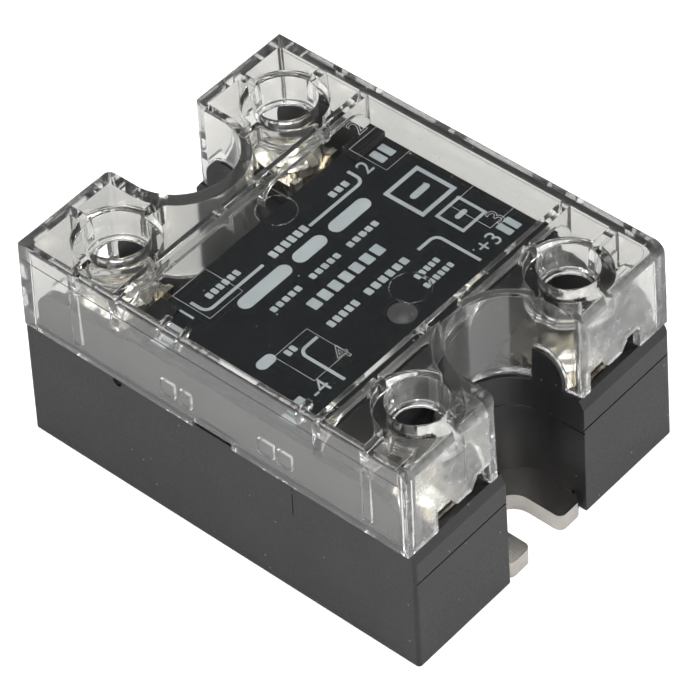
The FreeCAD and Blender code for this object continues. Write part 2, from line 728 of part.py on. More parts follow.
def make_nut(terminal):
    z1 = terminal.seat
    half = terminal.nut_half
    nut = box(terminal.x - half, terminal.x + half, terminal.y - half, terminal.y + half,
              z1 - terminal.nut_height, z1)
    lower = [edge for edge in nut.Edges if edge.BoundBox.ZMax < z1 - terminal.nut_height + 0.01]
    nut = nut.makeChamfer(0.35, lower)
    return nut.cut(cylinder(terminal.x, terminal.y, z1 - 10, z1 + 1, terminal.screw_r + thread_gap))


def bent_strap(terminal, outer_x, bend_x, foot_z):
    """A flat strap along the terminal's seat that turns down at bend_x and ends at foot_z."""
    thick = terminal.lead_thick
    half = lead_half_width[terminal.name]
    pad_half = terminal.clamp_half_y
    inward = terminal.inward
    neck_x = (platform_x0 if terminal.x < 0 else platform_x1) - inward * 0.4
    pad = box(outer_x, neck_x, terminal.y - pad_half, terminal.y + pad_half, terminal.seat, terminal.lead_top)
    tongue = box(neck_x - inward * 0.1, bend_x - inward * thick, terminal.y - half, terminal.y + half,
                 terminal.seat, terminal.lead_top)
    elbow = Part.makeCylinder(thick * 2, 2 * half,
                              vec(bend_x - inward * thick * 2, terminal.y - half, terminal.lead_top - thick * 2),
                              vec(0, 1, 0))
    hollow = Part.makeCylinder(thick, 2 * half + 2,
                               vec(bend_x - inward * thick * 2, terminal.y - half - 1, terminal.lead_top - thick * 2),
                               vec(0, 1, 0))
    quarter = box(bend_x - inward * thick * 2, bend_x + inward, terminal.y - half, terminal.y + half,
                  terminal.lead_top - thick * 2, terminal.lead_top + 1)
    elbow = elbow.cut(hollow).common(quarter)
    tongue = tongue.cut(box(bend_x - inward * thick * 2, bend_x + inward, terminal.y - half - 1,
                            terminal.y + half + 1, terminal.seat - 1, terminal.lead_top + 1))
    leg = box(bend_x - inward * thick, bend_x, terminal.y - half, terminal.y + half, foot_z,
              terminal.lead_top - thick * 2)
    strap = fuse([pad, tongue, elbow, leg])
    hole = cylinder(terminal.x, terminal.y, terminal.seat - 1, terminal.lead_top + 1, terminal.screw_r + 0.25)
    return strap.cut(hole)


def make_output_lead(terminal):
    """Terminal strap that runs in under the platform and down to a foot on the power stage."""
    outer_x = terminal.x - (terminal.clamp_half_x + 0.6)
    strap = bent_strap(terminal, outer_x, output_bend_x, pad_z)
    half = lead_half_width[terminal.name]
    foot = box(output_bend_x - 0.1, output_bend_x + 2.2, terminal.y - half, terminal.y + half, pad_z, pad_z + 1.0)
    return fuse([strap, foot])


def make_input_lead(terminal):
    """Terminal strap that ends in a narrow pin through the control board."""
    outer_x = terminal.x + terminal.clamp_half_x + 0.2
    pin_half = 0.6
    strap = bent_strap(terminal, outer_x, input_bend_x, board_bottom - 1.2)
    trim_top = board_top + 0.1
    for sign in (-1, 1):
        strap = strap.cut(box(input_bend_x - 2, input_bend_x + 3, terminal.y + sign * pin_half, terminal.y + sign * 5,
                              0, trim_top))
    return strap


# ---- power stage ----
def make_solder_layer():
    return box(stage_x0 + 0.4, stage_x1 - 0.4, -stage_half_y + 0.4, stage_half_y - 0.4, base_thick,
               base_thick + solder_thick)


def make_ceramic_substrate():
    low = base_thick + solder_thick
    return box(stage_x0, stage_x1, -stage_half_y, stage_half_y, low, low + ceramic_thick)


def make_copper_pads():
    low = base_thick + solder_thick + ceramic_thick
    pads = []
    for sign in (-1, 1):
        pads.append(box(stage_x0 + 0.6, -6.8, sign * 9.4, sign * 17.0, low, low + copper_thick))
        pads.append(box(-5.9, 6.2, sign * 1.0, sign * 16.4, low, low + copper_thick))
        pads.append(box(7.0, 8.8, sign * 4.0, sign * 12.0, low, low + copper_thick))
    return pads


def make_thyristor_chips():
    half = chip_half
    return [box(x - half, x + half, y - half, y + half, pad_z, pad_z + chip_thick) for x, y in chip_places]


def make_chip_clips():
    """Copper bridges from the top of each chip across to the pad under the output lead."""
    clips = []
    for x, y in chip_places:
        sign = 1 if y > 0 else -1
        top = pad_z + chip_thick
        over_chip = box(x - 2.0, x + 2.0, y - 2.0, y + 2.0, top, top + 0.5)
        arm = box(x - 6.9, x - 1.9, y + sign * 0.4, y + sign * 2.0, top + 0.4, top + 0.9)
        riser = box(x - 2.4, x - 1.6, y + sign * 0.4, y + sign * 2.0, top, top + 0.9)
        reach = box(x - 7.7, x - 6.7, y + sign * 0.4, y + sign * 4.4, top + 0.4, top + 0.9)
        drop = box(x - 7.7, x - 6.7, y + sign * 3.5, y + sign * 4.4, pad_z, top + 0.9)
        clips.append(fuse([over_chip, arm, riser, reach, drop]))
    return clips


# ---- control board ----
def make_control_board():
    board = box(board_x0, board_x1, -board_half_y, board_half_y, board_bottom, board_top)
    holes = [(x, y, gate_pin_r) for x, y in gate_places] + [(x, y, leg_r) for x, y in led_legs + capacitor_legs]
    for x, y, radius in holes:
        board = board.cut(cylinder(x, y, board_bottom - 1, board_top + 1, radius + pin_gap))
    for terminal in terminals[2:]:
        board = board.cut(box(input_bend_x - 0.1, input_bend_x + terminal.lead_thick + 0.1, terminal.y - 0.7,
                              terminal.y + 0.7, board_bottom - 1, board_top + 1))
    return board


def make_gate_pins():
    return [cylinder(x, y, pad_z, board_top + leg_overhang, gate_pin_r) for x, y in gate_places]


def make_status_led():
    collar = cylinder(lens_x, 0, led_base_z, led_base_z + 0.6, led_r + 0.3)
    barrel = cylinder(lens_x, 0, led_base_z, led_base_z + 2.6, led_r)
    dome = Part.makeSphere(led_r, vec(lens_x, 0, led_base_z + 2.6))
    legs = [cylinder(x, y, board_bottom - leg_overhang, led_base_z + 0.1, leg_r) for x, y in led_legs]
    return fuse([collar, barrel, dome] + legs)


def make_optocoupler():
    """A six-pin package across the isolation gap, with its gull-wing pins."""
    x, y = 2.0, 1.5
    body_low = board_top + 0.3
    body = box(x - 3.2, x + 3.2, y - 4.3, y + 4.3, body_low, body_low + 3.1)
    upper = [edge for edge in body.Edges if edge.BoundBox.ZMin > body_low + 3.0]
    body = body.makeChamfer(0.35, upper)
    pins = []
    for side in (-1, 1):
        for row in (-1, 0, 1):
            pin_y = y + row * 2.54
            shelf = box(x + side * 3.1, x + side * 4.1, pin_y - 0.35, pin_y + 0.35, body_low + 1.2, body_low + 1.5)
            drop = box(x + side * 3.8, x + side * 4.1, pin_y - 0.35, pin_y + 0.35, board_top, body_low + 1.5)
            pins.append(fuse([shelf, drop]))
    return fuse([body] + pins)


def make_current_regulator():
    """A surface-mount transistor that limits the input current."""
    x, y = 8.9, -3.6
    body = box(x - 1.3, x + 1.3, y - 1.8, y + 1.8, board_top + 0.1, board_top + 1.6)
    tab = box(x - 1.9, x - 1.2, y - 1.0, y + 1.0, board_top, board_top + 0.4)
    pins = [box(x + 1.2, x + 1.9, y + row - 0.25, y + row + 0.25, board_top, board_top + 0.4) for row in (-1.1, 0, 1.1)]
    return fuse([body, tab] + pins)


def make_chip_resistors():
    places = [(-4.6, -13.0), (-4.6, -10.2), (-4.6, 8.6), (-1.2, -10.2), (-1.2, -13.0), (4.4, 12.4), (4.4, 14.9)]
    return [box(x - 1.3, x + 1.3, y - 0.8, y + 0.8, board_top, board_top + 0.55) for x, y in places]


def make_snubber_capacitor():
    low = board_top + 0.4
    body = box(capacitor_x - 2.0, capacitor_x + 2.0, capacitor_y - 4.0, capacitor_y + 4.0, low, low + 6.2)
    upright = [edge for edge in body.Edges if edge.BoundBox.ZLength > 6.0]
    body = body.makeFillet(0.5, upright)
    legs = [cylinder(x, y, board_bottom - leg_overhang, low + 0.1, leg_r) for x, y in capacitor_legs]
    return fuse([body] + legs)


def make_potting(neighbours):
    """Resin over the power stage: it fills the lower cavity around everything that stands in it."""
    gap = 0.02
    fill = rounded_block(half_length - 2.0 - gap, half_width - housing_wall - 0.3 - gap, 0.8,
                         base_thick, potting_top)
    for side in (-1, 1):
        fill = fill.cut(u_prism(side, housing_notch_r + cavity_gap + gap, 0, split_z))
    fill = fill.cut(rounded_block(base_half_length + base_fit_gap, base_half_width + base_fit_gap, base_corner,
                                  -1, base_thick))
    for terminal in terminals:
        fill = fill.cut(boss_column(terminal, gap, split_z))
    for neighbour in neighbours:
        fill = fill.cut(neighbour)
    return fill


# ---- write one STEP file per node ----
def save(name, shape):
    solids = shape if isinstance(shape, list) else [shape]
    bodies = [solid for item in solids for solid in item.Solids]
    result = bodies[0] if len(bodies) == 1 else Part.makeCompound(bodies)
    if not all(body.isValid() for body in bodies):
        print("not valid:", name)
    volume = sum(body.Volume for body in bodies)
    print(f"{name:20s} solids {len(bodies):2d}  volume {volume:9.2f} mm3")
    result.exportStep(f"parts/{name}.step")


def main():
    os.makedirs("parts", exist_ok=True)
    save("baseplate", make_baseplate())
    save("housing", make_housing())
    save("cover", make_cover())
    save("label", make_label())
    save("status_lens", make_status_lens())
    for terminal in terminals:
        save(f"{terminal.name}_screw_{terminal.number}", make_screw(terminal))
        save(f"{terminal.name}_clamp_{terminal.number}", make_clamp(terminal))
    save("output_nuts", [make_nut(terminal) for terminal in terminals[:2]])
    save("input_nuts", [make_nut(terminal) for terminal in terminals[2:]])
    output_leads = [make_output_lead(terminal) for terminal in terminals[:2]]
    input_leads = [make_input_lead(terminal) for terminal in terminals[2:]]
    for terminal, lead in zip(terminals, output_leads + input_leads):
        save(f"{terminal.name}_lead_{terminal.number}", lead)
    stage = {
        "solder_layer": [make_solder_layer()],
        "ceramic_substrate": [make_ceramic_substrate()],
        "copper_pads": make_copper_pads(),
        "thyristor_chips": make_thyristor_chips(),
        "chip_clips": make_chip_clips(),
        "gate_pins": make_gate_pins(),
    }
    for name, solids in stage.items():
        save(name, solids)
    save("control_board", make_control_board())
    save("optocoupler", make_optocoupler())
    save("current_regulator", make_current_regulator())
    save("chip_resistors", make_chip_resistors())
    save("snubber_capacitor", make_snubber_capacitor())
    save("status_led", make_status_led())
    buried = [solid for solids in stage.values() for solid in solids]
    save("potting", make_potting(buried + output_leads))


main()
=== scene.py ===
"""Looks, lights and camera for a panel-mount solid state relay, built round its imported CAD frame."""
import json
import math

import bpy
from mathutils import Euler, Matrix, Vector


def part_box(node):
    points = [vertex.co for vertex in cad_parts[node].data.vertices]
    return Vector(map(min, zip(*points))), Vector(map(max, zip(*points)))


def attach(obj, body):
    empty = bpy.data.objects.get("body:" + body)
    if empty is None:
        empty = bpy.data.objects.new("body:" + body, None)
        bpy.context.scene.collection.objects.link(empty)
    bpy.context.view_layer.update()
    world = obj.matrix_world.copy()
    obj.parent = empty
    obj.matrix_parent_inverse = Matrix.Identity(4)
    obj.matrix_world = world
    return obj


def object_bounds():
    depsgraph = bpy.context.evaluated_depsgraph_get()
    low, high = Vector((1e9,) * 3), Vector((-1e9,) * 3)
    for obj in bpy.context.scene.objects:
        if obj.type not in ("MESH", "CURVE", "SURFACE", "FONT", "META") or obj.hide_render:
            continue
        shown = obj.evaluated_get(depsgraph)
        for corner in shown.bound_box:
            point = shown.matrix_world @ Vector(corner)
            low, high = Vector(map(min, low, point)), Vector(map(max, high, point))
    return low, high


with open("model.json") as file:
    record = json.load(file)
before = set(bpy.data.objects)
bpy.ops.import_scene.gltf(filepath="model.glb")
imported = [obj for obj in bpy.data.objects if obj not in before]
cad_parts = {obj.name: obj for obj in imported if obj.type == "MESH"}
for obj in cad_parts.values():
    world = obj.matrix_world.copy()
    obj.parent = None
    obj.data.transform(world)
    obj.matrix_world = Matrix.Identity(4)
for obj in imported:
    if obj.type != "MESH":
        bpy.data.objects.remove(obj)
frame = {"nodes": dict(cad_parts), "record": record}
cad_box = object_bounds()
nodes = frame["nodes"]

MM = 0.001

# ---------------------------------------------------------------- node tree helpers


def add(tree, kind, attributes=(), **inputs):
    """A new shader node with its attributes and input defaults set; underscores in input names are spaces."""
    made = tree.nodes.new(kind)
    for key, value in dict(attributes).items():
        setattr(made, key, value)
    for key, value in inputs.items():
        made.inputs[key.replace("_", " ")].default_value = value
    return made


def principled(name, colour, **inputs):
    """A node material with one Principled shader; colour and inputs are constants on its own sockets."""
    material = bpy.data.materials.new(name)
    material.use_nodes = True
    tree = material.node_tree
    shader = tree.nodes["Principled BSDF"]
    shader.inputs["Base Color"].default_value = (*colour, 1.0)
    for key, value in inputs.items():
        shader.inputs[key.replace("_", " ")].default_value = value
    return material, tree, shader


def object_space(tree, stretch=(1.0, 1.0, 1.0)):
    """Object coordinates in metres, scaled per axis, so that a pattern can run along one direction."""
    coordinates = add(tree, "ShaderNodeTexCoord")
    mapping = add(tree, "ShaderNodeMapping", Scale=stretch)
    tree.links.new(coordinates.outputs["Object"], mapping.inputs["Vector"])
    return mapping.outputs["Vector"]


def components(tree, output):
    """The X, Y and Z outputs of the surface's "Normal" or "Object" vector, in the object's own axes."""
    coordinates = add(tree, "ShaderNodeTexCoord")
    parts = add(tree, "ShaderNodeSeparateXYZ")
    tree.links.new(coordinates.outputs[output], parts.inputs["Vector"])
    return parts.outputs


def noise(tree, per_metre, detail=3.0, roughness=0.5, stretch=(1.0, 1.0, 1.0)):
    """Fractal noise over the surface, from 0 to 1."""
    made = add(tree, "ShaderNodeTexNoise", Scale=per_metre, Detail=detail, Roughness=roughness)
    tree.links.new(object_space(tree, stretch), made.inputs["Vector"])
    return made.outputs["Fac"]


def specks(tree, per_metre, size):
    """1 inside small scattered round specks and 0 elsewhere."""
    cells = add(tree, "ShaderNodeTexVoronoi", Scale=per_metre)
    tree.links.new(object_space(tree), cells.inputs["Vector"])
    inside = add(tree, "ShaderNodeMath", {"operation": "LESS_THAN"})
    inside.inputs[1].default_value = size
    tree.links.new(cells.outputs["Distance"], inside.inputs[0])
    return inside.outputs["Value"]


def spread(tree, factor, low, high, start=0.3, end=0.7):
    """factor between start and end becomes a value from low to high."""
    made = add(tree, "ShaderNodeMapRange", From_Min=start, From_Max=end, To_Min=low, To_Max=high)
    tree.links.new(factor, made.inputs["Value"])
    return made.outputs["Result"]


def two_tone(tree, factor, first, second, start=0.3, end=0.7):
    """A colour from first to second as factor goes from start to end."""
    ramp = add(tree, "ShaderNodeValToRGB")
    for stop, place, colour in zip(ramp.color_ramp.elements, (start, end), (first, second)):
        stop.position = place
        stop.color = (*colour, 1.0)
    tree.links.new(factor, ramp.inputs["Fac"])
    return ramp.outputs["Color"]


def combine(tree, operation, *values):
    """One math operation on one or two node outputs."""
    made = add(tree, "ShaderNodeMath", {"operation": operation})
    for value, socket in zip(values, made.inputs):
        tree.links.new(value, socket)
    return made.outputs["Value"]


def mixed(tree, factor, first, second):
    """A blend of two shader outputs: first where factor is 0, second where it is 1."""
    made = add(tree, "ShaderNodeMixShader")
    tree.links.new(factor, made.inputs["Fac"])
    tree.links.new(first, made.inputs[1])
    tree.links.new(second, made.inputs[2])
    return made.outputs["Shader"]


def relief(tree, shader, height, depth_mm, edge_mm=0.0):
    """Bumps the shader's surface by height, over depth_mm, and shades edges as if rounded by edge_mm."""
    made = add(tree, "ShaderNodeBump", Strength=1.0, Distance=depth_mm * MM)
    tree.links.new(height, made.inputs["Height"])
    if edge_mm:
        rounded = add(tree, "ShaderNodeBevel", {"samples": 6}, Radius=edge_mm * MM)
        tree.links.new(rounded.outputs["Normal"], made.inputs["Normal"])
    tree.links.new(made.outputs["Normal"], shader.inputs["Normal"])


def drive(tree, source, shader, socket):
    """Feeds source into one of the shader's sockets."""
    tree.links.new(source, shader.inputs[socket])


# ---------------------------------------------------------------- materials

dust_grey = (0.16, 0.16, 0.16)
dust_per_metre = 430.0
dust_size = 0.055
grains_per_cloud = 30.0
level_from, level_to = 0.9, 0.98    # the upward part of a face's normal where it begins to count as level
plastic_uneven = 0.08               # how far a plastic's roughness strays to either side


def moulded_plastic(name, dark, light, grain_per_metre, roughness, grain_mm=0.006, gloss=0.4,
                    dusty=False, top_shade=1.0, edge_mm=0.0):
    """Moulded plastic with fine grain, faint flow clouds and uneven gloss, and specks of dust if dusty.

    Faces that look straight up get a painted shade, their colour darker by top_shade, and are smoother by the
    same factor; edges are shaded as if rounded by edge_mm.
    """
    material, tree, shader = principled(name, dark, Roughness=roughness, IOR=1.5, Specular_IOR_Level=gloss)
    clouds = noise(tree, grain_per_metre / grains_per_cloud, detail=4.0, roughness=0.6)
    colour = two_tone(tree, clouds, dark, light)
    if dusty:
        dusted = add(tree, "ShaderNodeMixRGB", Color2=(*dust_grey, 1.0))
        tree.links.new(specks(tree, dust_per_metre, dust_size), dusted.inputs["Fac"])
        tree.links.new(colour, dusted.inputs["Color1"])
        colour = dusted.outputs["Color"]
    # Painted shade: faces that look straight up have their colour darkened by top_shade; the same factor also
    # lowers their roughness.
    painted_shade_and_gloss = spread(tree, components(tree, "Normal")["Z"], 1.0, top_shade, level_from, level_to)
    painted_shade_colour = add(tree, "ShaderNodeVectorMath", {"operation": "SCALE"})
    tree.links.new(colour, painted_shade_colour.inputs["Vector"])
    tree.links.new(painted_shade_and_gloss, painted_shade_colour.inputs["Scale"])
    drive(tree, painted_shade_colour.outputs["Vector"], shader, "Base Color")
    grain = noise(tree, grain_per_metre, detail=2.0, roughness=0.6)
    rough = spread(tree, grain, roughness - plastic_uneven, roughness + plastic_uneven)
    drive(tree, combine(tree, "MULTIPLY", rough, painted_shade_and_gloss), shader, "Roughness")
    relief(tree, shader, grain, grain_mm, edge_mm)
    return material


plating_per_metre = 260.0
lines_per_metre = 900.0
metal_smoother, metal_rougher = 0.06, 0.08      # how far a metal's roughness strays to either side


def brushed_metal(name, dark, light, roughness, stretch, line_mm=0.002, detail=3.0):
    """Plated or rolled metal: fine lines along one direction over cloudy plating."""
    material, tree, shader = principled(name, light, Metallic=1.0, Roughness=roughness)
    clouds = noise(tree, plating_per_metre, detail, 0.6)
    drive(tree, two_tone(tree, clouds, dark, light), shader, "Base Color")
    lines = noise(tree, lines_per_metre, detail, 0.6, stretch)
    drive(tree, spread(tree, lines, roughness - metal_smoother, roughness + metal_rougher), shader, "Roughness")
    relief(tree, shader, lines, line_mm)
    return material


end_from, end_to = 25.8 * MM, 27.6 * MM          # where along X the cover's mottled input end begins
mottle_per_metre = 650.0
ripple_per_metre, ripple_mm = 110.0, 0.012       # the faint waviness of moulded sheet
cover_dust_per_metre, cover_dust_size = 300.0, 0.035
full_milk_haze, dust_haze = 0.12, 0.3            # the share of light that milky and dusty places scatter
haze_white = (0.80, 0.80, 0.79, 1.0)
light_passed = (0.86, 0.87, 0.87, 1.0)           # what the plastic passes straight on to what is behind it


def clear_plastic(name, tint, roughness, frost, side_milk):
    """Clear polycarbonate: polished where it is level, a little milky where it is upright.

    Its input end face is mottled up to the roughness frost, and small specks of dust lie on it.
    """
    material, tree, shader = principled(name, tint, Roughness=roughness, IOR=1.585, Transmission_Weight=1.0)
    facing = components(tree, "Normal")
    place = components(tree, "Object")
    at_end = spread(tree, place["X"], 0.0, 1.0, end_from, end_to)
    end_face = combine(tree, "MULTIPLY", spread(tree, facing["X"], 0.0, 1.0, start=0.3, end=0.9), at_end)
    mottle = spread(tree, noise(tree, mottle_per_metre, 3.0, 0.6), 0.25, 1.0, start=0.42, end=0.66)
    upright = spread(tree, combine(tree, "ABSOLUTE", facing["Z"]), side_milk, 0.0, start=0.35, end=0.95)
    milk = combine(tree, "MAXIMUM", upright, combine(tree, "MULTIPLY", end_face, mottle))
    drive(tree, spread(tree, milk, roughness, frost, start=0.0, end=1.0), shader, "Roughness")
    relief(tree, shader, noise(tree, ripple_per_metre, detail=1.0, roughness=0.5), ripple_mm)
    dust = specks(tree, cover_dust_per_metre, cover_dust_size)
    dusty_haze = spread(tree, dust, 0.0, dust_haze, start=0.0, end=1.0)
    milky_haze = spread(tree, milk, 0.0, full_milk_haze, start=0.0, end=1.0)
    haze = combine(tree, "MAXIMUM", milky_haze, dusty_haze)
    matt = add(tree, "ShaderNodeBsdfDiffuse", Color=haze_white)
    hazy = mixed(tree, haze, shader.outputs["BSDF"], matt.outputs["BSDF"])
    path = add(tree, "ShaderNodeLightPath")
    through = add(tree, "ShaderNodeBsdfTransparent", Color=light_passed)
    either = mixed(tree, path.outputs["Is Shadow Ray"], hazy, through.outputs["BSDF"])
    tree.links.new(either, tree.nodes["Material Output"].inputs["Surface"])
    return material


plastics = [
    # The housing's faces that look straight up carry a painted shade at half brightness (top_shade=0.5).
    moulded_plastic("housing_plastic", (0.0120, 0.0115, 0.0125), (0.019, 0.018, 0.019), 3800, 0.42,
                    dusty=True, top_shade=0.5, edge_mm=0.14),
    moulded_plastic("label_film", (0.0035, 0.0045, 0.0055), (0.005, 0.0065, 0.0075), 5200, 0.34, 0.001, 0.2),
    moulded_plastic("lens_plastic", (0.03, 0.03, 0.032), (0.05, 0.05, 0.053), 900, 0.22, 0.002),
    moulded_plastic("board_laminate", (0.012, 0.075, 0.035), (0.02, 0.11, 0.05), 2600, 0.4),
    moulded_plastic("component_black", (0.014, 0.014, 0.015), (0.03, 0.03, 0.03), 5000, 0.5),
    moulded_plastic("resistor_body", (0.02, 0.02, 0.024), (0.05, 0.05, 0.05), 4000, 0.38),
    moulded_plastic("capacitor_body", (0.28, 0.15, 0.03), (0.42, 0.22, 0.05), 1800, 0.35),
    moulded_plastic("led_body", (0.30, 0.02, 0.015), (0.5, 0.04, 0.03), 1500, 0.15, 0.001),
    moulded_plastic("potting_resin", (0.01, 0.01, 0.011), (0.02, 0.02, 0.022), 300, 0.18, 0.02),
    moulded_plastic("ceramic", (0.72, 0.72, 0.70), (0.84, 0.84, 0.82), 3200, 0.55),
    moulded_plastic("silicon", (0.05, 0.055, 0.065), (0.1, 0.11, 0.13), 1200, 0.12, 0.001),
    clear_plastic("clear_polycarbonate", (0.93, 0.925, 0.905), roughness=0.02, frost=0.30, side_milk=0.22),
]
even = (1.0, 1.0, 1.0)
metals = [
    brushed_metal("base_metal", (0.45, 0.42, 0.385), (0.64, 0.62, 0.58), 0.17, (1.0, 14.0, 1.0), 0.0006),
    brushed_metal("nut_steel", (0.48, 0.47, 0.44), (0.62, 0.61, 0.58), 0.34, (1.0, 1.0, 6.0)),
    brushed_metal("solder", (0.55, 0.55, 0.56), (0.72, 0.72, 0.73), 0.4, even),
    brushed_metal("copper", (0.72, 0.34, 0.2), (0.86, 0.45, 0.28), 0.3, (1.0, 8.0, 1.0)),
    brushed_metal("pin_metal", (0.6, 0.6, 0.6), (0.75, 0.75, 0.74), 0.28, (1.0, 1.0, 8.0)),
    brushed_metal("plated_copper", (0.62, 0.58, 0.5), (0.78, 0.74, 0.66), 0.20, even, 0.0002, 0.0),
    brushed_metal("clamp_nickel", (0.70, 0.64, 0.56), (0.84, 0.79, 0.70), 0.16, even, 0.0002, 0.0),
    brushed_metal("screw_nickel", (0.70, 0.67, 0.61), (0.86, 0.84, 0.78), 0.17, even, 0.0002, 0.0),
]
# The frame already holds plain materials of these names, so Blender adds a suffix to the new ones.
materials = {material.name.split(".")[0]: material for material in plastics + metals}

for part in frame["record"]["subparts"]:
    for mesh_slot in nodes[part["node"]].material_slots:
        mesh_slot.material = materials[part["material_slot"]]

# ---------------------------------------------------------------- edges of the clear cover


def soften(node, width_mm, angle=32.0, segments=2):
    """Rounds a CAD node's sharp edges a little, with modifiers only."""
    part = nodes[node]
    weld = part.modifiers.new("weld", "WELD")
    weld.merge_threshold = 1e-6
    bevel = part.modifiers.new("edge", "BEVEL")
    bevel.width = width_mm * MM
    bevel.segments = segments
    bevel.limit_method = "ANGLE"
    bevel.angle_limit = math.radians(angle)
    bevel.use_clamp_overlap = False
    bevel.miter_outer = "MITER_ARC"
    bevel.loop_slide = False
    bevel.face_strength_mode = "FSTR_ALL"
    shade = part.modifiers.new("shade", "WEIGHTED_NORMAL")
    shade.weight = 50
    shade.keep_sharp = False
    shade.use_face_influence = True


soften("cover", 0.05)

# ---------------------------------------------------------------- flat marks


def add_object(name, mesh, body):
    """A visual piece made of mesh that moves with body."""
    piece = bpy.data.objects.new(name, mesh)
    bpy.context.scene.collection.objects.link(piece)
    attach(piece, body)


def flat_piece(name, outlines, top, thickness, material, body):
    """One thin piece made of closed outlines in millimetres, lying with its top face at top."""
    mesh = bpy.data.meshes.new(name)
    points, faces = [], []
    for loop in outlines:
        first, count = len(points), len(loop)
        for z in (top, top - thickness):
            points += [(x * MM, y * MM, z) for x, y in loop]
        faces.append(tuple(range(first, first + count)))
        faces.append(tuple(range(first + 2 * count - 1, first + count - 1, -1)))
        for i in range(count):
            j = (i + 1) % count
            faces.append((first + j, first + i, first + count + i, first + count + j))
    mesh.from_pydata(points, [], faces)
    mesh.materials.append(material)
    add_object(name, mesh, body)


def rounded_box(x, y, half_x, half_y, radius, steps=4):
    """A rounded rectangle's outline, counter-clockwise, in millimetres."""
    radius = min(radius, half_x, half_y)
    loop = []
    for corner, (sx, sy) in enumerate(((1, 1), (-1, 1), (-1, -1), (1, -1))):
        for i in range(steps + 1):
            angle = math.radians(90.0 * (corner + i / steps))
            loop.append((
                x + sx * (half_x - radius) + radius * math.cos(angle),
                y + sy * (half_y - radius) + radius * math.sin(angle),
            ))
    return loop


def stroke(path, width):
    """The outline of a line of constant width along an open path, in millimetres."""
    left, right = [], []
    for i, point in enumerate(path):
        before = Vector(path[max(i - 1, 0)])
        after = Vector(path[min(i + 1, len(path) - 1)])
        along = (after - before).normalized()
        across = Vector((-along.y, along.x)) * width / 2
        left.append(tuple(Vector(point) + across))
        right.append(tuple(Vector(point) - across))
    return right + left[::-1]


def rounded_corner(start, corner, end, radius, steps=6):
    """A path from start to end that turns at corner along an arc."""
    start, corner, end = Vector(start), Vector(corner), Vector(end)
    come, go = (start - corner).normalized(), (end - corner).normalized()
    path = [tuple(start)]
    centre = corner + (come + go) * radius
    for i in range(steps + 1):
        angle = math.pi / 2 * i / steps
        path.append(tuple(centre - go * radius * math.cos(angle) - come * radius * math.sin(angle)))
    path.append(tuple(end))
    return path


def word(x, centre_y, length, height, letters, gap=0.28, radius=0.14):
    """A row of letter-sized rounded blocks along +Y, standing for one line of small print."""
    pitch = length / letters
    half_letter = pitch * (1 - gap) / 2
    first = centre_y - length / 2 + pitch / 2
    return [rounded_box(x, first + pitch * i, height / 2, half_letter, radius) for i in range(letters)]


def bar(x, centre_y, length, height):
    """One plain bar along +Y with round ends."""
    return rounded_box(x, centre_y, height / 2, length / 2, height / 2)


def frame_lines(x, y, half, width):
    """A plain square frame made of four bars that meet edge to edge."""
    corner = 0.01
    outer, inner = half + width / 2, half - width / 2
    across = [rounded_box(x + side * half, y, width / 2, outer, corner) for side in (-1, 1)]
    along = [rounded_box(x, y + side * half, inner, width / 2, corner) for side in (-1, 1)]
    return across + along


# ---------------------------------------------------------------- printed label

label_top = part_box("label")[1].z
print_thickness = 0.012 * MM
print_line = 0.42
# Lines of small print: x, centre y, length, height, number of letters.
words = [
    (-8.3, 0.6, 6.2, 1.15, 6), (-9.6, -8.9, 5.4, 0.95, 6), (-9.4, 10.4, 3.2, 0.95, 3),
    (-2.6, -6.3, 5.0, 0.85, 5), (-2.6, 0.2, 5.0, 0.85, 5), (-2.6, 6.6, 5.2, 0.85, 5),
    (0.35, 0.4, 12.4, 1.6, 7), (3.8, -4.1, 5.0, 1.05, 5), (3.8, 3.2, 7.2, 1.05, 6),
    (6.5, 6.9, 4.0, 0.85, 5), (8.2, 6.9, 4.8, 0.85, 6), (3.0, -11.9, 1.7, 1.0, 2),
    (-9.3, 17.9, 2.9, 2.1, 2), (-9.4, -17.9, 2.7, 2.1, 2), (9.4, 17.6, 2.6, 2.1, 2), (9.2, -17.6, 2.9, 2.1, 2),
]
# Plain bars: x, centre y, length, height.
bars = [
    (-5.7, -6.3, 8.2, 1.9), (-5.7, 1.2, 5.0, 1.9), (-5.7, 8.0, 6.4, 1.9),
    (-2.0, 15.8, 3.0, 0.9), (4.0, 15.8, 1.8, 0.7), (2.0, -14.8, 2.6, 1.5),
]
# Square frames: x, y, half width, line width.
frames = [(-2.0, 15.8, 2.7, 0.55), (4.0, 15.8, 1.9, 0.4)]
# Brackets, one of each on either side of the middle: x, y of the free end, y of the turn, x of the outer end.
brackets = [(-8.1, 3.9, 13.2, -10.5), (3.9, 8.5, 11.5, 10.4)]
bracket_turn = 1.0


def printed_label():
    """The label's flat marks: brackets, plain bars, letter blocks and two plain frames."""
    marks = []
    for side in (-1, 1):
        for x, free_y, turn_y, outer_x in brackets:
            free, turn, outer = (x, side * free_y), (x, side * turn_y), (outer_x, side * turn_y)
            marks.append(stroke(rounded_corner(free, turn, outer, bracket_turn), print_line))
    for row in words:
        marks += word(*row)
    for row in frames:
        marks += frame_lines(*row)
    return marks + [bar(*row) for row in bars]


film_ink = moulded_plastic("film_ink", (0.22, 0.25, 0.265), (0.29, 0.315, 0.33), 2600, 0.5, 0.001)
flat_piece("label_print", printed_label(), label_top + print_thickness, print_thickness * 0.8, film_ink,
           "relay_body")


